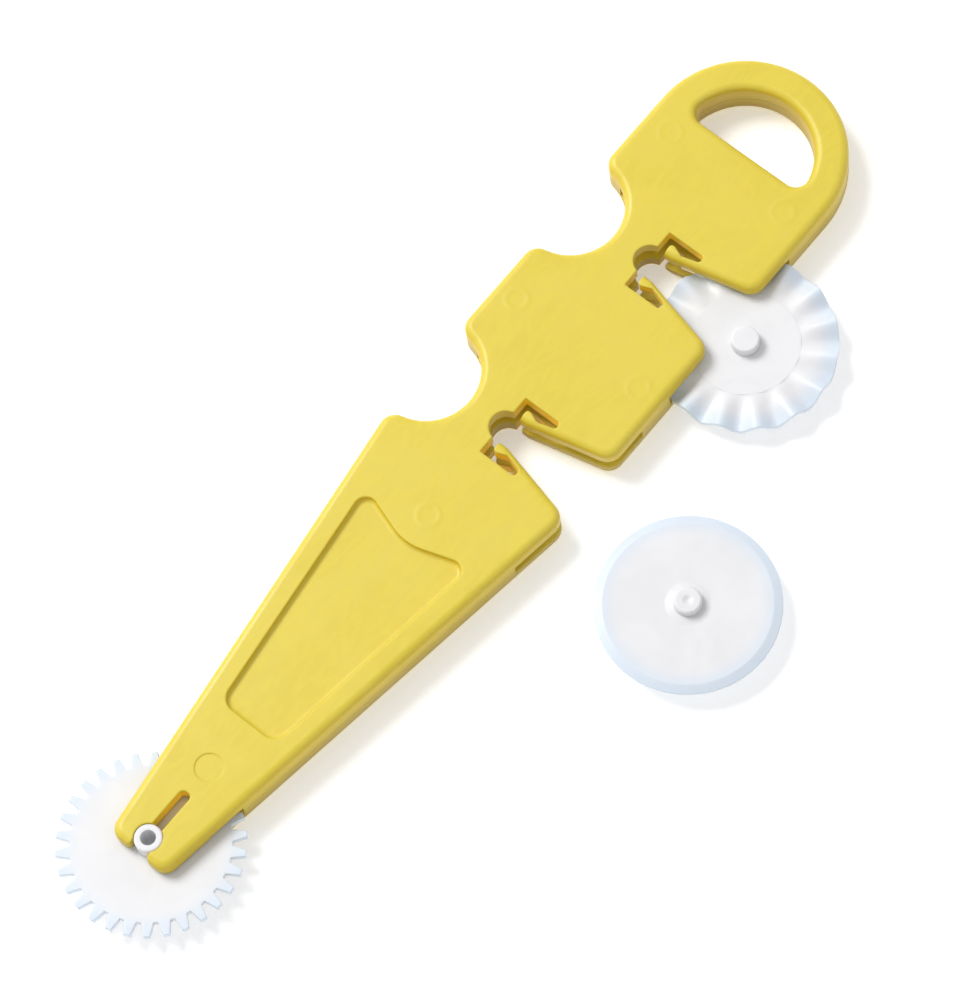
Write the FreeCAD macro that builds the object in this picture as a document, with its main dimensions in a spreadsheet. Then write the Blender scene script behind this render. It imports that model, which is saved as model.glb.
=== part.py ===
import FreeCAD, Part
import Sketcher
import math
import os

# Rotary cutter with a two-part snap handle and three interchangeable wheels.
# X runs out of the side clips, Y runs from the working tip to the hanging loop,
# Z is up. The handle lies on its back face (Z = 0), and the origin is on the
# back face, on the handle's centre line, "tip_distance" behind the tip axle.

doc = FreeCAD.newDocument("rotary_cutter")
sheet = doc.addObject("Spreadsheet::Sheet", "Dims")
scratch = doc.addObject("Spreadsheet::Sheet", "Scratch")

SIZES = [
    # whole handle, measured from the tip axle
    ("tip_distance", "70", "origin to tip axle"),
    ("grip_half_width", "17", "half width of the straight grip"),
    ("half_thickness", "3.7", "thickness of each handle half"),
    ("prong_half_width", "5.7", "half width at the end of the prongs"),
    ("prong_wall", "0.5", "prong end ahead of the tip hub"),
    ("taper_lap", "0.2", "taper end above the lower corner of the first notch"),
    ("taper_room", "2.55", "taper end below the lower corner of the first mouth"),
    ("loop_spacing", "9.35", "second wheel's rim to the centre of the loop arch"),
    ("loop_wall", "5.6", "wall round the loop hole"),
    ("loop_hole_corner", "2.2", "corner radius of the loop hole"),
    ("outer_round", "1.3", "rounding of the outer face edges"),
    ("corner_radius", "2.7", "corners of the grip outline"),
    ("prong_corner", "2.3", "outer corners of the prongs"),
    # clips
    ("clip_one", "87.5", "first side clip from the tip axle"),
    ("wheel_spacing", "6.65", "between the rims of the two stored wheels"),
    ("notch_inset", "0.6", "finger notch centre inside the grip's edge"),
    ("notch_radius", "8.7", "finger notch radius"),
    ("hub_radius", "2.3", "wheel hub"),
    ("hub_running", "0.05", "radial clearance of a hub in the tip seat"),
    ("seat_gap", "0.4", "radial clearance of a hub in a side clip"),
    ("throat_gap", "0.12", "clearance of a hub between the clip fingers"),
    ("mouth_half", "5.95", "half the wedge mouth at the grip side"),
    ("finger_left", "0.95", "free end of a clip finger"),
    ("finger_end", "0.8", "length of the thick finger end"),
    ("finger_thick", "1.93", "finger end beyond the throat"),
    ("finger_neck_x", "3.5", "thinnest place of a finger"),
    ("finger_thin", "1.23", "finger neck beyond the throat"),
    ("finger_corner", "0.55", "rounding of the finger end"),
    ("relief_left", "-0.5", "inner side of the relief slots"),
    ("relief_right", "6.6", "closed end of the relief slots"),
    ("relief_width", "1.45", "relief slot beside the finger end"),
    ("relief_corner", "0.6", "rounding of the closed slot end"),
    ("relief_flat", "0.05", "flat between the roundings of the slot end"),
    # tip fork
    ("fork_grip", "0.5", "hub radius over half the gap between the prongs"),
    ("fork_flare", "0.9", "widening of the gap on each side"),
    ("fork_slot_length", "7.1", "relief slot beyond the tip hub"),
    ("fork_slot_round", "0.85", "rounding of the relief slot end"),
    ("fork_slot_flat", "0.15", "flat beside the middle of the slot end"),
    # wheels
    ("wheel_radius", "15", "plain wheel"),
    ("toothed_radius", "15.1", "toothed wheel over the teeth"),
    ("tooth_height", "2.25", "teeth from root to tip"),
    ("fluted_radius", "15.1", "fluted wheel"),
    ("disc_half", "0.6", "half thickness of the toothed disc"),
    ("rim_half", "0.8", "half thickness of the plain disc"),
    ("edge_half", "0.3", "half thickness of the plain wheel's edge"),
    ("bevel_width", "1.4", "bevel of the plain wheel"),
    ("swell_width", "1.4", "foot of the hub swell beyond the hub"),
    ("swell_rise", "0.2", "hub swell above the disc"),
    ("boss_height", "2.4", "upper boss of a stored wheel above mid-plane"),
    ("dimple_radius", "0.9", "dimple in the plain hub"),
    ("dimple_depth", "0.35", "depth of the dimple"),
    ("hub_round", "0.3", "rounding of the hub ends"),
    ("hub_hole", "1.25", "hole through the toothed wheel's hub"),
    ("tooth_count", "30", "teeth"),
    ("tooth_root_half", "0.98", "half width of a tooth at its root"),
    ("tooth_tip_half", "0.5", "half width of a tooth at its tip"),
    ("tooth_phase", "8.5", "turn of the toothed wheel, degrees"),
    ("flute_count", "15", "flutes round the fluted wheel"),
    ("flute_start", "8.8", "radius where the flutes start"),
    ("flute_height", "0.85", "rise and fall of the rim"),
    ("flute_sheet", "0.8", "sheet thickness of the fluted wheel"),
    ("flute_plate", "0.03", "raised plate round the fluted hub"),
    ("flute_plate_lap", "0.2", "plate beyond the start of the flutes"),
    ("flute_ring_lap", "1", "waved ring inside the plate"),
    ("flute_phase", "4", "turn of the fluted wheel, degrees"),
    # slits for the wheels, cut in both halves about the mid-plane
    ("wheel_gap", "0.25", "clearance of a wheel in its slit"),
    ("tip_step_gap", "0.7", "flute start to where the fork slit widens"),
    # where the wheels lie, from the grip's edge and the clip centre
    ("fluted_rest_x", "3.3", "fluted wheel, out from the grip"),
    ("fluted_rest_y", "-0.9", "fluted wheel, towards the tip"),
    ("plain_rest_x", "24", "plain wheel, out from the grip"),
    ("plain_rest_y", "-4.75", "plain wheel, towards the tip"),
    # thumb panel and marks
    ("panel_bottom", "24", "lower edge of the panel"),
    ("panel_length", "41.8", "lower edge to the upper corners"),
    ("panel_dip", "3.6", "drop of the upper edge in the middle"),
    ("panel_bottom_half", "5.7", "half width at the lower edge"),
    ("panel_top_half", "11", "half width at the upper corners"),
    ("panel_depth", "0.85", "depth of the panel"),
    ("panel_soft", "0.7", "soft edge of the panel floor"),
    ("panel_low_corner", "2.6", "lower corners of the panel"),
    ("panel_high_corner", "2", "upper corners of the panel"),
    ("panel_dip_round", "9", "rounding of the dip"),
    ("mark_centre", "14.6", "round ejector mark"),
    ("mark_radius", "2.35", "radius of the mark"),
    ("mark_depth", "0.1", "depth of the mark"),
    # joining pegs
    ("peg_radius", "1.3", "joining pegs"),
    ("peg_floor", "1.4", "wall in front of a peg's end"),
    ("peg_gap", "0.05", "clearance round a peg in its socket"),
    ("peg_end_gap", "0.2", "clearance beyond a peg's end"),
    ("peg_tip_wall", "4", "peg at the panel, below the first slit"),
    ("peg_grip_inset", "4.4", "pegs between the clips, inside the grip's edge"),
    ("peg_loop_inset", "5.3", "pegs below the loop, inside the grip's edge"),
    # cuts start this far inside the hole beside them and end this far outside
    ("cut_lap", "0.5", "overlap of neighbouring cuts"),
]

# Sizes and places that follow from those in the sheet.
CLIP_SEAT = "(Dims.hub_radius + Dims.seat_gap)"
THROAT_HALF = "(Dims.hub_radius + Dims.throat_gap)"
THROAT_END = "Dims.hub_radius"
THROAT_INNER = "sqrt(%s ^ 2 - %s ^ 2)" % (CLIP_SEAT, THROAT_HALF)
FINGER_TOP = "(%s + Dims.finger_thick)" % THROAT_HALF
FINGER_FLAT = "(Dims.finger_left + Dims.finger_end)"
FINGER_NECK = "(%s + Dims.finger_thin)" % THROAT_HALF
RELIEF_OUTER = "(%s + Dims.relief_width)" % FINGER_TOP
RELIEF_END = "(%s - 2 * Dims.relief_corner - Dims.relief_flat)" % RELIEF_OUTER
FLAT_SLIT = "(Dims.rim_half + Dims.wheel_gap)"
FLUTED_SLIT = "(Dims.flute_height + Dims.flute_sheet / 2 + Dims.wheel_gap)"
TIP_REACH = "(Dims.toothed_radius + Dims.wheel_gap)"
TIP_STEP = "(Dims.flute_start + Dims.tip_step_gap)"
SWELL_RADIUS = "(Dims.hub_radius + Dims.swell_width)"
SWELL_HEIGHT = "(Dims.rim_half + Dims.swell_rise)"
TOOTHED_ROOT = "(Dims.toothed_radius - Dims.tooth_height)"
PRONG_END = "(Dims.hub_radius + Dims.prong_wall)"
FORK_HALF = "(Dims.hub_radius - Dims.fork_grip)"
FORK_WIDE = "(%s + Dims.fork_flare)" % FORK_HALF
FORK_SLOT_HALF = "(Dims.fork_slot_round + Dims.fork_slot_flat)"
FORK_SLOT_END = "(Dims.hub_radius + Dims.fork_slot_length)"
CLIP_TWO = "(Dims.clip_one + Dims.wheel_radius + Dims.wheel_spacing + Dims.fluted_radius)"
TAPER_LEFT = "(Dims.clip_one - Dims.notch_radius + Dims.taper_lap)"
TAPER_RIGHT = "(Dims.clip_one - Dims.mouth_half - Dims.taper_room)"
LOOP_CENTRE = "(%s + Dims.fluted_radius + Dims.loop_spacing)" % CLIP_TWO
LOOP_HOLE = "(Dims.grip_half_width - Dims.loop_wall)"
PANEL_TOP = "(Dims.panel_bottom + Dims.panel_length)"
PANEL_DIP = "(%s - Dims.panel_dip)" % PANEL_TOP
PEG_LENGTH = "(Dims.half_thickness - Dims.peg_floor)"
PEG_PLACES = [
    ("0", "Dims.clip_one - Dims.wheel_radius - Dims.wheel_gap - Dims.peg_tip_wall"),
]
for sign in ("-", ""):
    beside = "(Dims.clip_one + Dims.wheel_radius + %s - Dims.fluted_radius) / 2" % CLIP_TWO
    below = "(%s + Dims.fluted_radius + Dims.wheel_gap + %s) / 2" % (CLIP_TWO, LOOP_CENTRE)
    PEG_PLACES.append((sign + "(Dims.grip_half_width - Dims.peg_grip_inset)", beside))
    PEG_PLACES.append((sign + "(Dims.grip_half_width - Dims.peg_loop_inset)", below))

# each side clip: its centre, where its wheel lies, the wheel's radius and half its slit
CLIPS = [
    ("Dims.clip_one", "(Dims.grip_half_width + Dims.plain_rest_x)", "Dims.plain_rest_y",
     "Dims.wheel_radius", FLAT_SLIT),
    (CLIP_TWO, "(Dims.grip_half_width + Dims.fluted_rest_x)", "Dims.fluted_rest_y",
     "Dims.fluted_radius", FLUTED_SLIT),
]

for row, (alias, value, note) in enumerate(SIZES, 1):
    sheet.set("A%d" % row, alias)
    sheet.set("B%d" % row, value)
    sheet.setAlias("B%d" % row, alias)
    sheet.set("C%d" % row, note)
doc.recompute()


def dim(alias):
    return float(sheet.get(alias))


def number(text):
    scratch.set("A1", "=" + text)
    scratch.recompute()
    return float(scratch.get("A1"))


def spot(place):
    return FreeCAD.Vector(number(place[0]), number(place[1]), 0)


def new_body(name):
    body = doc.addObject("PartDesign::Body", name)
    body.Label = name
    return body


def new_sketch(body, name, role="XY_Plane", height=None):
    sketch = body.newObject("Sketcher::SketchObject", name)
    plane = [item for item in body.Origin.OriginFeatures if item.Role == role][0]
    sketch.AttachmentSupport = (plane, [""])
    sketch.MapMode = "FlatFace"
    if height:
        sketch.setExpression("AttachmentOffset.Base.z", height)
    return sketch


def pin(sketch, item, point, place):
    for kind, text, axis in (("DistanceX", place[0], -2), ("DistanceY", place[1], -1)):
        if text == "0":
            sketch.addConstraint(Sketcher.Constraint("PointOnObject", item, point, axis))
        else:
            rule = Sketcher.Constraint(kind, -1, 1, item, point, number(text))
            index = sketch.addConstraint(rule)
            sketch.setExpression("Constraints[%d]" % index, text)


def polygon(sketch, corners):
    spots = [spot(place) for place in corners]
    first = sketch.GeometryCount
    count = len(corners)
    for i in range(count):
        sketch.addGeometry(Part.LineSegment(spots[i], spots[(i + 1) % count]), False)
    for i in range(count):
        rule = Sketcher.Constraint("Coincident", first + i, 2, first + (i + 1) % count, 1)
        sketch.addConstraint(rule)
    for i in range(count):
        pin(sketch, first + i, 1, corners[i])


def circle(sketch, place, radius):
    round_line = Part.Circle(spot(place), FreeCAD.Vector(0, 0, 1), number(radius))
    item = sketch.addGeometry(round_line, False)
    pin(sketch, item, 3, place)
    index = sketch.addConstraint(Sketcher.Constraint("Radius", item, number(radius)))
    sketch.setExpression("Constraints[%d]" % index, radius)


def half_round(sketch, place, radius):
    # an arch standing on a level line through its centre
    centre = spot(place)
    size = number(radius)
    left = centre - FreeCAD.Vector(size, 0, 0)
    right = centre + FreeCAD.Vector(size, 0, 0)
    round_line = Part.Circle(centre, FreeCAD.Vector(0, 0, 1), size)
    arc = sketch.addGeometry(Part.ArcOfCircle(round_line, 0, math.pi), False)
    base = sketch.addGeometry(Part.LineSegment(left, right), False)
    pin(sketch, arc, 3, place)
    sketch.addConstraint(Sketcher.Constraint("Coincident", arc, 2, base, 1))
    sketch.addConstraint(Sketcher.Constraint("Coincident", arc, 1, base, 2))
    sketch.addConstraint(Sketcher.Constraint("Horizontal", base))
    sketch.addConstraint(Sketcher.Constraint("PointOnObject", arc, 3, base))
    index = sketch.addConstraint(Sketcher.Constraint("Radius", arc, size))
    sketch.setExpression("Constraints[%d]" % index, radius)


def pad(body, sketch, name, length, down=False, middle=False):
    feature = body.newObject("PartDesign::Pad", name)
    feature.Profile = sketch
    feature.setExpression("Length", length)
    feature.Reversed = down
    if middle:
        feature.SideType = "Symmetric"
    doc.recompute()
    return feature


def pocket(body, sketch, name, length=None, middle=True, flip=False):
    before = body.Shape.Volume
    feature = body.newObject("PartDesign::Pocket", name)
    feature.Profile = sketch
    if length:
        feature.setExpression("Length", length)
    else:
        feature.Type = "ThroughAll"
    if middle:
        feature.SideType = "Symmetric"
    feature.Reversed = flip
    doc.recompute()
    if not feature.Shape.Volume < before - 1e-6:
        raise RuntimeError(name + " removes nothing")
    return feature


def vertical_edges(shape, places):
    names = []
    for place in places:
        target = spot(place)
        for index, edge in enumerate(shape.Edges, 1):
            box = edge.BoundBox
            upright = box.XLength < 1e-4 and box.YLength < 1e-4 and box.ZLength > 0.2
            if upright and math.hypot(box.XMin - target.x, box.YMin - target.y) < 0.01:
                names.append("Edge%d" % index)
    return names


def level_edges(shape, level):
    names = []
    for index, edge in enumerate(shape.Edges, 1):
        box = edge.BoundBox
        if abs(box.ZMin - level) < 1e-4 and abs(box.ZMax - level) < 1e-4:
            names.append("Edge%d" % index)
    return names


def fillet(body, base, name, edges, radius):
    if not edges:
        raise RuntimeError(name + " finds no edges")
    feature = body.newObject("PartDesign::Fillet", name)
    feature.Base = (base, edges)
    feature.setExpression("Radius", radius)
    doc.recompute()
    if "Invalid" in feature.State:
        raise RuntimeError("%s does not build" % name)
    return feature


def heading(rest_x, rest_y):
    # direction from the throat of a clip to the place where its wheel lies
    throat = "(%s + %s) / 2" % (THROAT_INNER, THROAT_END)
    run = "(%s - %s)" % (rest_x, throat)
    length = "sqrt(%s ^ 2 + %s ^ 2)" % (run, rest_y)
    return "(%s / %s)" % (run, length), "(%s / %s)" % (rest_y, length)


def seated(clip, rest_x, rest_y):
    # hub centre when the wheel has slid straight back into its clip
    along, across = heading(rest_x, rest_y)
    y = "%s + %s - (%s - Dims.seat_gap) * %s / %s" % (clip, rest_y, rest_x, across, along)
    return "Dims.seat_gap", y


def grip_outline(sketch):
    polygon(sketch, [
        ("-Dims.prong_half_width", "-" + PRONG_END),
        ("Dims.prong_half_width", "-" + PRONG_END),
        ("Dims.grip_half_width", TAPER_RIGHT),
        ("Dims.grip_half_width", LOOP_CENTRE),
        ("-Dims.grip_half_width", LOOP_CENTRE),
        ("-Dims.grip_half_width", TAPER_LEFT),
    ])


def wedge_mouth(sketch, clip):
    rise = "(Dims.mouth_half - %s)" % THROAT_HALF
    slope = "%s / (Dims.grip_half_width - %s)" % (rise, THROAT_END)
    wide = "(Dims.mouth_half + Dims.cut_lap * %s)" % slope
    outside = "(Dims.grip_half_width + Dims.cut_lap)"
    polygon(sketch, [
        ("Dims.cut_lap", "%s - %s" % (clip, THROAT_HALF)),
        (THROAT_END, "%s - %s" % (clip, THROAT_HALF)),
        (outside, "%s - %s" % (clip, wide)),
        (outside, "%s + %s" % (clip, wide)),
        (THROAT_END, "%s + %s" % (clip, THROAT_HALF)),
        ("Dims.cut_lap", "%s + %s" % (clip, THROAT_HALF)),
    ])


def relief_slot(sketch, clip, side):
    # cut beside a clip finger, so that the finger can spring aside
    corners = [
        ("Dims.relief_left", RELIEF_OUTER),
        ("Dims.relief_right", RELIEF_OUTER),
        ("Dims.relief_right", RELIEF_END),
        ("Dims.finger_neck_x", FINGER_NECK),
        (FINGER_FLAT, FINGER_TOP),
        ("Dims.finger_left", FINGER_TOP),
        ("Dims.finger_left", "Dims.cut_lap"),
        ("Dims.relief_left", "Dims.cut_lap"),
    ]
    polygon(sketch, [(x, "%s %s %s" % (clip, side, y)) for x, y in corners])


def side_corners(shape):
    # upright edges where the notches and mouths meet the sides of the grip
    bottom = number(TAPER_LEFT) - 2 * dim("taper_lap")
    top = number(CLIP_TWO) + dim("notch_radius") + dim("cut_lap")
    inside = dim("grip_half_width") - dim("notch_inset")
    first_mouth = number("Dims.clip_one")
    names = []
    for index, edge in enumerate(shape.Edges, 1):
        box = edge.BoundBox
        upright = box.XLength < 1e-4 and box.YLength < 1e-4
        if not upright or not bottom < box.YMin < top or abs(box.XMin) < inside:
            continue
        if box.XMin < 0 or box.YMin > first_mouth:
            names.append("Edge%d" % index)
    return names


def build_half(name, front):
    # Each half is drawn on the parting plane. The front half grows up from it,
    # the rear half grows down, so both share every outline.
    body = new_body(name)
    level = dim("half_thickness") if front else -dim("half_thickness")

    outline = new_sketch(body, name + "_outline")
    grip_outline(outline)
    pad(body, outline, name + "_grip", "Dims.half_thickness", not front)
    arch = new_sketch(body, name + "_arch_line")
    circle(arch, ("0", LOOP_CENTRE), "Dims.grip_half_width")
    pad(body, arch, name + "_arch", "Dims.half_thickness", not front)

    notches = new_sketch(body, name + "_notch_lines")
    for clip, rest_x, rest_y, radius, slit in CLIPS:
        circle(notches, ("Dims.notch_inset - Dims.grip_half_width", clip), "Dims.notch_radius")
    pocket(body, notches, name + "_notches")
    mouths = new_sketch(body, name + "_mouth_lines")
    for clip, rest_x, rest_y, radius, slit in CLIPS:
        wedge_mouth(mouths, clip)
    pocket(body, mouths, name + "_mouths")
    hole = new_sketch(body, name + "_hole_line")
    half_round(hole, ("0", LOOP_CENTRE), LOOP_HOLE)
    base = pocket(body, hole, name + "_hole")

    hole_corners = [(sign + LOOP_HOLE, LOOP_CENTRE) for sign in ("-", "")]
    hole_edges = vertical_edges(base.Shape, hole_corners)
    base = fillet(body, base, name + "_hole_corners", hole_edges, "Dims.loop_hole_corner")
    prongs = [("%sDims.prong_half_width" % sign, "-" + PRONG_END) for sign in ("-", "")]
    prong_edges = vertical_edges(base.Shape, prongs)
    base = fillet(body, base, name + "_prong_corners", prong_edges, "Dims.prong_corner")
    # The lowest mouth corner stands close above the end of the taper, so its
    # rounding, which reaches 0.8 of its radius along the wall, stays in the wall.
    lowest = ("Dims.grip_half_width", "Dims.clip_one - Dims.mouth_half")
    low_edge = vertical_edges(base.Shape, [lowest])
    low_radius = "min(Dims.corner_radius; 1.1 * Dims.taper_room)"
    base = fillet(body, base, name + "_lowest_corner", low_edge, low_radius)
    base = fillet(body, base, name + "_corners", side_corners(base.Shape), "Dims.corner_radius")
    face_edges = level_edges(base.Shape, level)
    base = fillet(body, base, name + "_rounding", face_edges, "Dims.outer_round")

    seats = new_sketch(body, name + "_seat_lines")
    for clip, rest_x, rest_y, radius, slit in CLIPS:
        circle(seats, ("0", clip), CLIP_SEAT)
    circle(seats, ("0", "0"), "Dims.hub_radius + Dims.hub_running")
    pocket(body, seats, name + "_seats")
    for number_of, (clip, rest_x, rest_y, radius, slit) in enumerate(CLIPS, 1):
        for side, tag in (("+", "upper"), ("-", "lower")):
            cut = new_sketch(body, "%s_relief_line_%d_%s" % (name, number_of, tag))
            relief_slot(cut, clip, side)
            base = pocket(body, cut, "%s_relief_%d_%s" % (name, number_of, tag))
    fork = new_sketch(body, name + "_fork_line")
    outside = "-%s - Dims.cut_lap" % PRONG_END
    polygon(fork, [
        ("-" + FORK_HALF, "-Dims.cut_lap"),
        ("-" + FORK_HALF, "-Dims.hub_radius"),
        ("-" + FORK_WIDE, outside),
        (FORK_WIDE, outside),
        (FORK_HALF, "-Dims.hub_radius"),
        (FORK_HALF, "-Dims.cut_lap"),
    ])
    pocket(body, fork, name + "_fork")
    slot = new_sketch(body, name + "_fork_slot_line")
    polygon(slot, [
        ("-" + FORK_SLOT_HALF, "Dims.cut_lap"),
        (FORK_SLOT_HALF, "Dims.cut_lap"),
        (FORK_SLOT_HALF, FORK_SLOT_END),
        ("-" + FORK_SLOT_HALF, FORK_SLOT_END),
    ])
    base = pocket(body, slot, name + "_fork_slot")

    rounds = []
    ends = []
    for clip, rest_x, rest_y, radius, slit in CLIPS:
        for side in ("+", "-"):
            rounds.append(("Dims.relief_right", "%s %s %s" % (clip, side, RELIEF_OUTER)))
            rounds.append(("Dims.relief_right", "%s %s %s" % (clip, side, RELIEF_END)))
            ends.append(("Dims.finger_left", "%s %s %s" % (clip, side, FINGER_TOP)))
    slot_edges = vertical_edges(base.Shape, rounds)
    base = fillet(body, base, name + "_slot_ends", slot_edges, "Dims.relief_corner")
    end_edges = vertical_edges(base.Shape, ends)
    base = fillet(body, base, name + "_finger_ends", end_edges, "Dims.finger_corner")
    tops = [(sign + FORK_SLOT_HALF, FORK_SLOT_END) for sign in ("-", "")]
    top_edges = vertical_edges(base.Shape, tops)
    base = fillet(body, base, name + "_fork_slot_end", top_edges, "Dims.fork_slot_round")

    # Slits the wheels run in, half in each handle half. The slit in the fork
    # widens towards the rim, so that the fluted wheel runs there too.
    thin = new_sketch(body, name + "_fork_slit_line")
    circle(thin, ("0", "0"), TIP_REACH)
    pocket(body, thin, name + "_fork_slit", "%s * 2" % FLAT_SLIT)
    ring = new_sketch(body, name + "_fork_step_line")
    circle(ring, ("0", "0"), TIP_REACH)
    circle(ring, ("0", "0"), TIP_STEP)
    pocket(body, ring, name + "_fork_step", "%s * 2" % FLUTED_SLIT)
    for number_of, (clip, rest_x, rest_y, radius, slit) in enumerate(CLIPS, 1):
        reach = "(%s + Dims.wheel_gap)" % radius
        centre = seated(clip, rest_x, rest_y)
        along, across = heading(rest_x, rest_y)
        line = new_sketch(body, "%s_slit_line_%d" % (name, number_of))
        circle(line, centre, reach)
        pocket(body, line, "%s_slit_%d" % (name, number_of), "%s * 2" % slit)
        track = new_sketch(body, "%s_track_line_%d" % (name, number_of))
        near_x, near_y = centre
        far_x = "%s + 2 * Dims.grip_half_width * %s" % (near_x, along)
        far_y = "%s + 2 * Dims.grip_half_width * %s" % (near_y, across)
        polygon(track, [
            ("%s + %s * %s" % (near_x, across, reach), "%s - %s * %s" % (near_y, along, reach)),
            ("%s + %s * %s" % (far_x, across, reach), "%s - %s * %s" % (far_y, along, reach)),
            ("%s - %s * %s" % (far_x, across, reach), "%s + %s * %s" % (far_y, along, reach)),
            ("%s - %s * %s" % (near_x, across, reach), "%s + %s * %s" % (near_y, along, reach)),
        ])
        base = pocket(body, track, "%s_track_%d" % (name, number_of), "%s * 2" % slit)

    pegs = new_sketch(body, name + "_peg_lines")
    size = "Dims.peg_radius" if front else "Dims.peg_radius + Dims.peg_gap"
    for place in PEG_PLACES:
        circle(pegs, place, size)
    if front:
        pad(body, pegs, name + "_pegs", PEG_LENGTH, True)
        panel = new_sketch(body, name + "_panel_line", "XY_Plane", "Dims.half_thickness")
        polygon(panel, [
            ("-Dims.panel_bottom_half", "Dims.panel_bottom"),
            ("Dims.panel_bottom_half", "Dims.panel_bottom"),
            ("Dims.panel_top_half", PANEL_TOP),
            ("0", PANEL_DIP),
            ("-Dims.panel_top_half", PANEL_TOP),
        ])
        base = pocket(body, panel, name + "_panel", "Dims.panel_depth", False)
        low = [("%sDims.panel_bottom_half" % sign, "Dims.panel_bottom") for sign in ("-", "")]
        low_edges = vertical_edges(base.Shape, low)
        base = fillet(body, base, name + "_panel_low", low_edges, "Dims.panel_low_corner")
        high = [("%sDims.panel_top_half" % sign, PANEL_TOP) for sign in ("-", "")]
        high_edges = vertical_edges(base.Shape, high)
        base = fillet(body, base, name + "_panel_high", high_edges, "Dims.panel_high_corner")
        dip_edges = vertical_edges(base.Shape, [("0", PANEL_DIP)])
        base = fillet(body, base, name + "_panel_dip", dip_edges, "Dims.panel_dip_round")
        floor = level_edges(base.Shape, level - dim("panel_depth"))
        base = fillet(body, base, name + "_panel_soft", floor, "Dims.panel_soft")
        mark = new_sketch(body, name + "_mark_line", "XY_Plane", "Dims.half_thickness")
        circle(mark, ("0", "Dims.mark_centre"), "Dims.mark_radius")
        pocket(body, mark, name + "_mark", "Dims.mark_depth", False)
    else:
        pocket(body, pegs, name + "_sockets", "(%s + Dims.peg_end_gap) * 2" % PEG_LENGTH)

    body.setExpression("Placement.Base.y", "-Dims.tip_distance")
    body.setExpression("Placement.Base.z", "Dims.half_thickness")
    return body


def place_wheel(item, x, y, turn):
    item.setExpression("Placement.Base.x", x)
    item.setExpression("Placement.Base.y", "%s - Dims.tip_distance" % y)
    item.setExpression("Placement.Base.z", "Dims.half_thickness")
    item.setExpression("Placement.Rotation.Angle", "%s * 1 deg" % turn)


def build_toothed_wheel():
    body = new_body("toothed_wheel")
    disc = new_sketch(body, "toothed_disc_line")
    circle(disc, ("0", "0"), TOOTHED_ROOT)
    pad(body, disc, "toothed_disc", "Dims.disc_half * 2", False, True)
    tooth = new_sketch(body, "tooth_line")
    polygon(tooth, [
        (TOOTHED_ROOT + " - Dims.cut_lap", "-Dims.tooth_root_half"),
        (TOOTHED_ROOT, "-Dims.tooth_root_half"),
        ("Dims.toothed_radius", "-Dims.tooth_tip_half"),
        ("Dims.toothed_radius", "Dims.tooth_tip_half"),
        (TOOTHED_ROOT, "Dims.tooth_root_half"),
        (TOOTHED_ROOT + " - Dims.cut_lap", "Dims.tooth_root_half"),
    ])
    tooth_pad = pad(body, tooth, "tooth", "Dims.disc_half * 2", False, True)
    ring = body.newObject("PartDesign::PolarPattern", "teeth")
    ring.Originals = [tooth_pad]
    axis = [item for item in body.Origin.OriginFeatures if item.Role == "Z_Axis"][0]
    ring.Axis = (axis, [""])
    ring.Angle = 360
    ring.setExpression("Occurrences", "Dims.tooth_count")
    body.Tip = ring
    doc.recompute()
    hub = new_sketch(body, "toothed_hub_line")
    circle(hub, ("0", "0"), "Dims.hub_radius")
    base = pad(body, hub, "toothed_hub", "Dims.half_thickness * 2", False, True)
    rims = level_edges(base.Shape, dim("half_thickness"))
    rims = rims + level_edges(base.Shape, -dim("half_thickness"))
    fillet(body, base, "toothed_hub_round", rims, "Dims.hub_round")
    hole = new_sketch(body, "toothed_hole_line")
    circle(hole, ("0", "0"), "Dims.hub_hole")
    pocket(body, hole, "toothed_hole")
    place_wheel(body, "0", "0", "Dims.tooth_phase")
    return body


def plain_side(hub_end):
    # one side of the plain wheel's section, from the rim to the dimple
    return [
        ("Dims.wheel_radius", "Dims.edge_half"),
        ("Dims.wheel_radius - Dims.bevel_width", "Dims.rim_half"),
        (SWELL_RADIUS, "Dims.rim_half"),
        ("Dims.hub_radius", SWELL_HEIGHT),
        ("Dims.hub_radius", "(%s - Dims.hub_round)" % hub_end),
        ("Dims.hub_radius - Dims.hub_round", hub_end),
        ("Dims.dimple_radius", hub_end),
        ("0", "(%s - Dims.dimple_depth)" % hub_end),
    ]


def build_plain_wheel():
    body = new_body("plain_wheel")
    section = new_sketch(body, "plain_section", "XZ_Plane")
    upper = plain_side("Dims.boss_height")
    lower = [(x, "-" + height) for x, height in reversed(plain_side("Dims.half_thickness"))]
    polygon(section, upper + lower)
    turn = body.newObject("PartDesign::Revolution", "plain_turned")
    turn.Profile = section
    axis = [item for item in body.Origin.OriginFeatures if item.Role == "Z_Axis"][0]
    turn.ReferenceAxis = (axis, [""])
    turn.Angle = 360
    doc.recompute()
    clip, rest_x, rest_y, radius, slit = CLIPS[0]
    place_wheel(body, rest_x, "%s + %s" % (clip, rest_y), "0")
    return body


def wave_height(radius, angle):
    # the sheet stays flat out to "flute_start", then swings up and down
    start = dim("flute_start")
    reach = (radius - start) / (dim("fluted_radius") - start)
    if reach <= 0:
        return 0.0
    gentle = 0.35
    swing = dim("flute_height") * reach * (2 - reach) * (gentle + (1 - gentle) * reach)
    return swing * math.cos(angle * dim("flute_count"))


def wave_sheet(angles, radii, lift):
    rows = []
    for radius in radii:
        row = []
        for angle in angles:
            height = wave_height(radius, angle) + lift
            row.append(FreeCAD.Vector(radius * math.cos(angle), radius * math.sin(angle), height))
        rows.append(row)
    surface = Part.BSplineSurface()
    surface.interpolate(rows)
    return surface.toShape()


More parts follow.
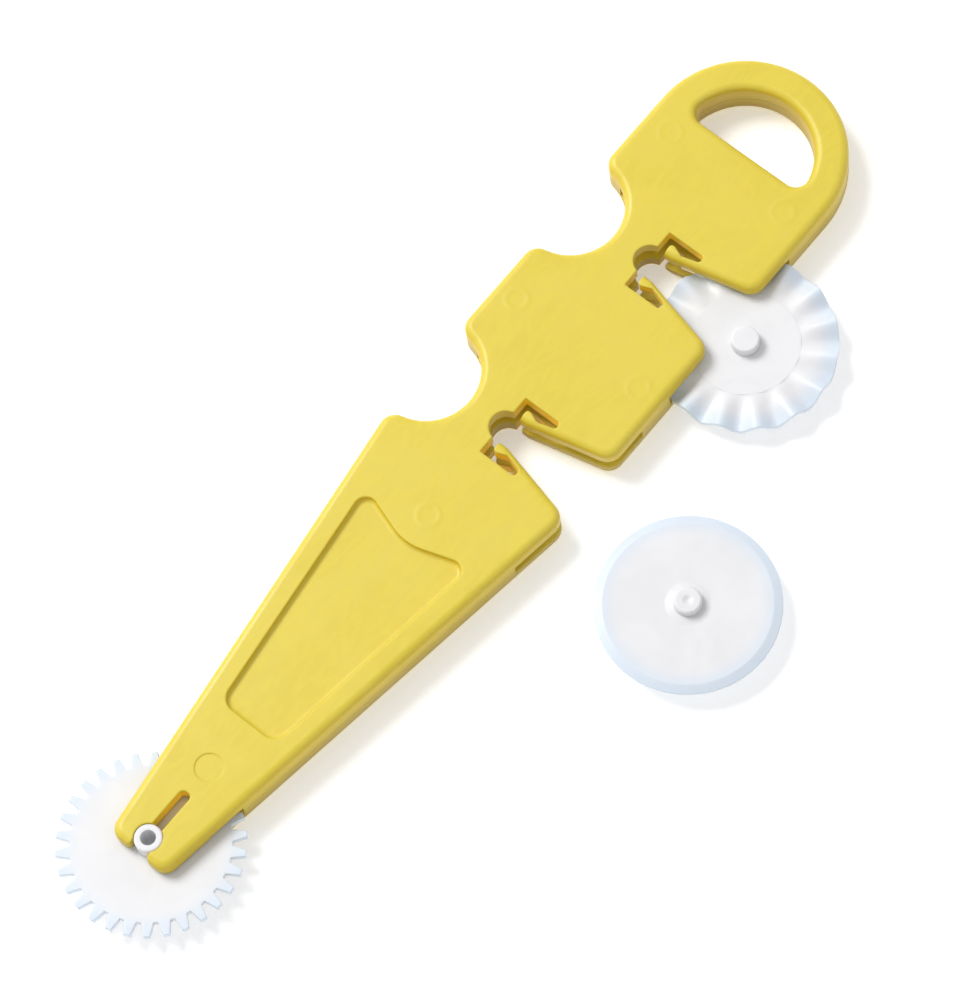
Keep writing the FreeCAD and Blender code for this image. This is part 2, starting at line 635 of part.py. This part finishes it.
def build_fluted_wheel():
    # A swept wave round the rim has no plain extrusion or turning behind it, so
    # the waved ring is closed up from smooth sheets and then joined to the hub.
    inner = dim("flute_start") - dim("flute_ring_lap")
    outer = dim("fluted_radius")
    half = dim("flute_sheet") / 2
    thirds = 3
    steps_per_flute = 12
    steps_across = 8
    steps = int(dim("flute_count")) * steps_per_flute // thirds
    faces = []
    for third in range(thirds):
        turn = 2 * math.pi / thirds
        angles = [turn * (third + i / float(steps)) for i in range(steps + 1)]
        spread = (outer - inner) / steps_across
        radii = [inner + spread * i for i in range(steps_across + 1)]
        top = wave_sheet(angles, radii, half)
        bottom = wave_sheet(angles, radii, -half)
        faces = faces + top.Faces + bottom.Faces
        for radius in (inner, outer):
            rails = []
            for sheet_side in (top, bottom):
                for edge in sheet_side.Edges:
                    ends = [math.hypot(point.Point.x, point.Point.y) for point in edge.Vertexes]
                    if max(abs(end - radius) for end in ends) < 1e-3:
                        rails.append(edge)
            faces.append(Part.makeRuledSurface(rails[0], rails[1]).Faces[0])
    shell = Part.makeShell(faces)
    shell.sewShape()
    ring = Part.makeSolid(shell)
    if ring.Volume < 0:
        ring.reverse()
    plate_half = half + dim("flute_plate")
    plate_radius = dim("flute_start") + dim("flute_plate_lap")
    plate = Part.makeCylinder(plate_radius, 2 * plate_half, FreeCAD.Vector(0, 0, -plate_half))
    foot = FreeCAD.Vector(0, 0, -dim("half_thickness"))
    length = dim("half_thickness") + dim("boss_height")
    hub = Part.makeCylinder(dim("hub_radius"), length, foot)
    rims = [edge for edge in hub.Edges if abs(edge.BoundBox.ZLength) < 1e-6]
    hub = hub.makeFillet(dim("hub_round"), rims)
    joined = plate.fuse(hub).fuse(ring)
    item = doc.addObject("Part::Feature", "fluted_wheel")
    item.Label = "fluted_wheel"
    item.Shape = joined
    clip, rest_x, rest_y, radius, slit = CLIPS[1]
    place_wheel(item, rest_x, "%s + %s" % (clip, rest_y), "Dims.flute_phase")
    return item


parts = [
    build_half("handle_front_half", True),
    build_half("handle_rear_half", False),
    build_toothed_wheel(),
    build_plain_wheel(),
    build_fluted_wheel(),
]
doc.removeObject("Scratch")
doc.recompute()

for item in doc.Objects:
    if "Invalid" in item.State or "Error" in item.State:
        raise RuntimeError("%s did not build: %s" % (item.Label, item.State))
for item in parts:
    if item.Shape.isNull() or not item.Shape.isValid():
        raise RuntimeError("%s has no valid shape" % item.Label)
    if len(item.Shape.Solids) != 1:
        raise RuntimeError("%s has %d solids" % (item.Label, len(item.Shape.Solids)))

os.makedirs("parts", exist_ok=True)
for item in parts:
    item.Shape.exportStep("parts/%s.step" % item.Label)
    box = item.Shape.BoundBox
    print("%s volume %.1f mm3, x %.2f..%.2f y %.2f..%.2f z %.2f..%.2f" % (
        item.Label, item.Shape.Volume, box.XMin, box.XMax, box.YMin, box.YMax, box.ZMin, box.ZMax))
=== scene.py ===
import math

import bpy
from mathutils import Matrix, Vector


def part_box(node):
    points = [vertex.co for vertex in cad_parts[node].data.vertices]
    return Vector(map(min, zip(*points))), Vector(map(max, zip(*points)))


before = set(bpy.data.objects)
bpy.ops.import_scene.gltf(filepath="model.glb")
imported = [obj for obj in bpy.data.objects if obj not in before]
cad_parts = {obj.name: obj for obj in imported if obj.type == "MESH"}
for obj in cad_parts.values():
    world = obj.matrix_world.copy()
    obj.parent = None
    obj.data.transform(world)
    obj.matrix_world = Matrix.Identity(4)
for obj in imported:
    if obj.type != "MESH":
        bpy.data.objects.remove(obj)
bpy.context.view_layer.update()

MM = 0.001

# The camera looks steeply down on the tool from beside its tip.
CAMERA_AZIMUTH = -40.34
CAMERA_ELEVATION = 68.1
CAMERA_ROLL = -10.87
CAMERA_DISTANCE = 0.7725
CAMERA_AIM = Vector((5.6, 5.84, 7.4)) * MM
FOCAL_LENGTH = 180.26
SENSOR_WIDTH = 36.0

# The key light stands left of, above and in front of the camera's view, in metres.
KEY_RIGHT = -0.8
KEY_UP = 0.9
KEY_BACK = 0.8
KEY_SIZE = 0.7
KEY_POWER = 15.5
SKY_STRENGTH = 0.58
FLOOR_GLOW = 0.3
SEEPING_LIGHT = 0.22
FLOOR_LEVEL = -0.2 * MM
FLOOR_SIZE = 6.0

YELLOW_EDGE = 0.45 * MM
WHITE_EDGE = 0.25 * MM
HOLLOW_REACH = 4.5 * MM
WALL_SHADE_FOOT = 0.3 * MM
WALL_SHADE_HEAD = 5.6 * MM

YELLOW = (0.705, 0.565, 0.050, 1.0)
YELLOW_LIGHT = (0.735, 0.595, 0.075, 1.0)
YELLOW_FLOW = (0.760, 0.615, 0.060, 1.0)
# painted light: the brighter, warmer yellow given to slots and corners
YELLOW_HOLLOW_GLOW = (0.900, 0.590, 0.012, 1.0)
# painted shade: the darker, browner yellows of the side walls, darkest near the rear face
YELLOW_WALL_SHADE = (0.670, 0.490, 0.016, 1.0)
YELLOW_FOOT_SHADE = (0.400, 0.275, 0.025, 1.0)
WHITE = (0.775, 0.775, 0.790, 1.0)
WHITE_CLOUD = (0.805, 0.805, 0.820, 1.0)
# painted light: the bluish tint of light passing through the thin wheel rims
WHITE_RIM_LIGHT_THROUGH = (0.640, 0.740, 0.850, 1.0)

SINK_RADIUS = 1.8 * MM
SINK_SPREAD = 0.8 * MM
TURNING_PITCH = 9000.0

# upright pegs inside the handle, in millimetres in the model's frame
PEGS = [(0.0, -1.75), (12.6, 35.8), (-12.6, 35.8), (11.7, 74.15), (-11.7, 74.15)]


def camera_axes():
    azimuth = math.radians(CAMERA_AZIMUTH)
    elevation = math.radians(CAMERA_ELEVATION)
    roll = math.radians(CAMERA_ROLL)
    flat = math.cos(elevation)
    back = Vector((flat * math.cos(azimuth), flat * math.sin(azimuth), math.sin(elevation)))
    level = Vector((-math.sin(azimuth), math.cos(azimuth), 0.0))
    rise = back.cross(level)
    right = level * math.cos(roll) + rise * math.sin(roll)
    up = rise * math.cos(roll) - level * math.sin(roll)
    return right, up, back


def add_camera():
    right, up, back = camera_axes()
    data = bpy.data.cameras.new("camera")
    data.sensor_fit = "HORIZONTAL"
    data.sensor_width = SENSOR_WIDTH
    data.lens = FOCAL_LENGTH
    data.clip_start = 0.01
    camera = bpy.data.objects.new("camera", data)
    turn = Matrix((right, up, back)).transposed().to_4x4()
    camera.matrix_world = Matrix.Translation(CAMERA_AIM + back * CAMERA_DISTANCE) @ turn
    bpy.context.scene.collection.objects.link(camera)
    bpy.context.scene.camera = camera


def add_light(name, place, size, power):
    data = bpy.data.lights.new(name, "AREA")
    data.shape = "DISK"
    data.size = size
    data.energy = power
    light = bpy.data.objects.new(name, data)
    light.location = place
    light.rotation_euler = (-Vector(place)).to_track_quat("-Z", "Y").to_euler()
    bpy.context.scene.collection.objects.link(light)


def add_lights():
    right, up, back = camera_axes()
    place = right * KEY_RIGHT + up * KEY_UP + back * KEY_BACK
    add_light("key", place, KEY_SIZE, KEY_POWER)
    world = bpy.data.worlds.new("studio")
    world.use_nodes = True
    sky = world.node_tree.nodes["Background"]
    sky.inputs["Color"].default_value = (1.0, 1.0, 1.0, 1.0)
    sky.inputs["Strength"].default_value = SKY_STRENGTH
    bpy.context.scene.world = world
    bpy.context.scene.view_settings.view_transform = "Standard"


def new_material(name):
    material = bpy.data.materials.new(name)
    material.use_nodes = True
    tree = material.node_tree
    return material, tree, tree.nodes["Principled BSDF"]


def add_node(tree, kind, values=(), **settings):
    # values: input name or number, and a plain value or another node's output
    node = tree.nodes.new(kind)
    for key, value in settings.items():
        setattr(node, key, value)
    for key, value in dict(values).items():
        if isinstance(value, bpy.types.NodeSocket):
            tree.links.new(value, node.inputs[key])
        else:
            node.inputs[key].default_value = value
    return node


def calculate(tree, operation, first, second=0.0, clamp=False):
    settings = {"operation": operation, "use_clamp": clamp}
    return add_node(tree, "ShaderNodeMath", {0: first, 1: second}, **settings).outputs[0]


def fade(tree, value, start, end, low=0.0, high=1.0):
    values = {"Value": value, "From Min": start, "From Max": end, "To Min": low, "To Max": high}
    node = add_node(tree, "ShaderNodeMapRange", values, interpolation_type="SMOOTHSTEP")
    return node.outputs["Result"]


def blend_colours(tree, amount, first, second):
    # a colour mix has its factor at input 0, its colours at 6 and 7, its result at output 2
    values = {0: amount, 6: first, 7: second}
    return add_node(tree, "ShaderNodeMix", values, data_type="RGBA").outputs[2]


def noise(tree, place, scale, detail=3.0, distortion=0.0):
    values = {"Vector": place, "Scale": scale, "Detail": detail, "Distortion": distortion}
    return add_node(tree, "ShaderNodeTexNoise", values).outputs["Fac"]


def distance_from(tree, place, x, y):
    # level distance from an upright line, in metres
    values = {0: place, 1: (x * MM, y * MM, 0.0)}
    offset = add_node(tree, "ShaderNodeVectorMath", values, operation="SUBTRACT").outputs[0]
    values = {0: offset, 1: (1.0, 1.0, 0.0)}
    level = add_node(tree, "ShaderNodeVectorMath", values, operation="MULTIPLY").outputs[0]
    return add_node(tree, "ShaderNodeVectorMath", {0: level}, operation="LENGTH").outputs["Value"]


def object_place(tree):
    return add_node(tree, "ShaderNodeTexCoord").outputs["Object"]


def relief(tree, shader, softness, layers):
    # moulded edges look soft; layers: height, strength and depth in metres
    normal = add_node(tree, "ShaderNodeBevel", {"Radius": softness}, samples=6).outputs["Normal"]
    for height, strength, depth in layers:
        values = {"Height": height, "Strength": strength, "Distance": depth, "Normal": normal}
        normal = add_node(tree, "ShaderNodeBump", values).outputs["Normal"]
    tree.links.new(normal, shader.inputs["Normal"])


def sink_marks(tree, place):
    # shallow rings that show where the joining pegs stand behind the front face
    total = None
    for x, y in PEGS:
        radius = distance_from(tree, place, x, y)
        rise = fade(tree, radius, SINK_RADIUS - SINK_SPREAD, SINK_RADIUS)
        fall = fade(tree, radius, SINK_RADIUS, SINK_RADIUS + SINK_SPREAD, 1.0, 0.0)
        ring = calculate(tree, "MULTIPLY", rise, fall)
        total = calculate(tree, "ADD", total, ring) if total else ring
    return total


def wall_shade_masks(tree, place):
    # masks for painted shade on the side walls: how far the surface is from level, and its height
    # above the rear face
    facing = add_node(tree, "ShaderNodeTexCoord").outputs["Normal"]
    tilt = add_node(tree, "ShaderNodeSeparateXYZ", {0: facing}).outputs["Z"]
    wall_shade = fade(tree, calculate(tree, "ABSOLUTE", tilt), 0.35, 0.85, 1.0, 0.0)
    height = add_node(tree, "ShaderNodeSeparateXYZ", {0: place}).outputs["Z"]
    return wall_shade, height


def yellow_plastic(name, sinks):
    # moulded plastic: cloudy colour, flow lines from the gate near the tip,
    # a fine grain, painted shade on the side walls, darkest low down, and painted warm light in
    # slots and corners
    material, tree, shader = new_material(name)
    place = object_place(tree)
    values = {"Vector": place, "Scale": (1.0, 0.3, 1.0), "Rotation": (0.0, 0.0, 0.25)}
    stretched = add_node(tree, "ShaderNodeMapping", values).outputs["Vector"]
    clouds = noise(tree, place, 55.0, 4.0, 0.6)
    flow = noise(tree, stretched, 420.0, 3.0, 1.8)
    grain = noise(tree, place, 5200.0, 2.0)
    colour = blend_colours(tree, fade(tree, clouds, 0.35, 0.65), YELLOW_LIGHT, YELLOW)
    streaks = fade(tree, flow, 0.35, 0.7, 0.0, 0.55)
    colour = blend_colours(tree, streaks, colour, YELLOW_FLOW)
    # painted shade: the walls darken and brown toward the rear face as if turned away from the
    # light
    wall_shade, height = wall_shade_masks(tree, place)
    foot_shade = fade(tree, height, WALL_SHADE_FOOT, WALL_SHADE_HEAD, 1.0, 0.0)
    wall_shade_colour = blend_colours(tree, foot_shade, YELLOW_WALL_SHADE, YELLOW_FOOT_SHADE)
    colour = blend_colours(tree, wall_shade, colour, wall_shade_colour)
    # painted light: hollows found by the AO node turn a brighter, warmer yellow; depth carries
    # that mask
    values = {"Distance": HOLLOW_REACH}
    settings = {"samples": 8, "only_local": True}
    hollow = add_node(tree, "ShaderNodeAmbientOcclusion", values, **settings)
    depth = fade(tree, hollow.outputs["AO"], 0.25, 0.75, 1.0, 0.0)
    colour = blend_colours(tree, depth, colour, YELLOW_HOLLOW_GLOW)
    tree.links.new(colour, shader.inputs["Base Color"])
    # painted glow: slots and corners give off a little light of their own, standing in for light
    # that thin walls let through
    seeping = calculate(tree, "MULTIPLY", depth, SEEPING_LIGHT)
    tree.links.new(colour, shader.inputs["Emission Color"])
    tree.links.new(seeping, shader.inputs["Emission Strength"])
    gloss = fade(tree, clouds, 0.3, 0.7, 0.34, 0.46)
    tree.links.new(gloss, shader.inputs["Roughness"])
    shader.inputs["Subsurface Weight"].default_value = 0.22
    shader.inputs["Subsurface Radius"].default_value = (1.0, 0.65, 0.12)
    shader.inputs["Subsurface Scale"].default_value = 2.0 * MM
    layers = [(flow, 0.25, 0.04 * MM), (grain, 0.12, 0.02 * MM)]
    if sinks:
        layers.insert(0, (sink_marks(tree, place), 0.5, 0.06 * MM))
    relief(tree, shader, YELLOW_EDGE, layers)
    return material


def white_plastic(name, node):
    # milky plastic with a painted bluish tint toward the rim for light passing through the thin
    # edge, and faint turning lines
    material, tree, shader = new_material(name)
    low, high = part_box(node)
    centre = (low + high) / 2 / MM
    radius = (high.y - low.y) / 2
    place = object_place(tree)
    reach = distance_from(tree, place, centre.x, centre.y)
    clouds = noise(tree, place, 130.0, 4.0, 0.8)
    grain = noise(tree, place, 4200.0, 2.0)
    colour = blend_colours(tree, fade(tree, clouds, 0.3, 0.7), WHITE, WHITE_CLOUD)
    # painted light: the rim turns bluish outward as if light passed through the thin edge
    rim_light_through = fade(tree, reach, 0.72 * radius, radius, 0.0, 0.75)
    colour = blend_colours(tree, rim_light_through, colour, WHITE_RIM_LIGHT_THROUGH)
    tree.links.new(colour, shader.inputs["Base Color"])
    tree.links.new(fade(tree, clouds, 0.3, 0.7, 0.36, 0.5), shader.inputs["Roughness"])
    shader.inputs["Subsurface Weight"].default_value = 0.35
    shader.inputs["Subsurface Radius"].default_value = (1.0, 1.0, 1.1)
    shader.inputs["Subsurface Scale"].default_value = 1.0 * MM
    rings = calculate(tree, "SINE", calculate(tree, "MULTIPLY", reach, TURNING_PITCH))
    relief(tree, shader, WHITE_EDGE, [(rings, 0.06, 0.01 * MM), (grain, 0.1, 0.02 * MM)])
    return material


def add_floor():
    bpy.ops.mesh.primitive_plane_add(size=FLOOR_SIZE, location=(0.0, 0.0, FLOOR_LEVEL))
    floor = bpy.context.object
    floor.name = "floor"
    material, tree, shader = new_material("floor_paper")
    place = object_place(tree)
    cloud = fade(tree, noise(tree, place, 9.0), 0.3, 0.7)
    paper = blend_colours(tree, cloud, (0.975, 0.975, 0.975, 1.0), (0.965, 0.965, 0.965, 1.0))
    tree.links.new(paper, shader.inputs["Base Color"])
    shader.inputs["Roughness"].default_value = 0.9
    shader.inputs["Specular IOR Level"].default_value = 0.1
    shader.inputs["Emission Color"].default_value = (1.0, 1.0, 1.0, 1.0)
    shader.inputs["Emission Strength"].default_value = FLOOR_GLOW
    floor.data.materials.append(material)


def dress(node, material):
    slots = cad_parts[node].data.materials
    slots.clear()
    slots.append(material)


add_camera()
add_lights()
add_floor()
dress("handle_front_half", yellow_plastic("front_half_plastic", True))
dress("handle_rear_half", yellow_plastic("rear_half_plastic", False))
for wheel in ("toothed_wheel", "plain_wheel", "fluted_wheel"):
    dress(wheel, white_plastic(wheel + "_plastic", wheel))
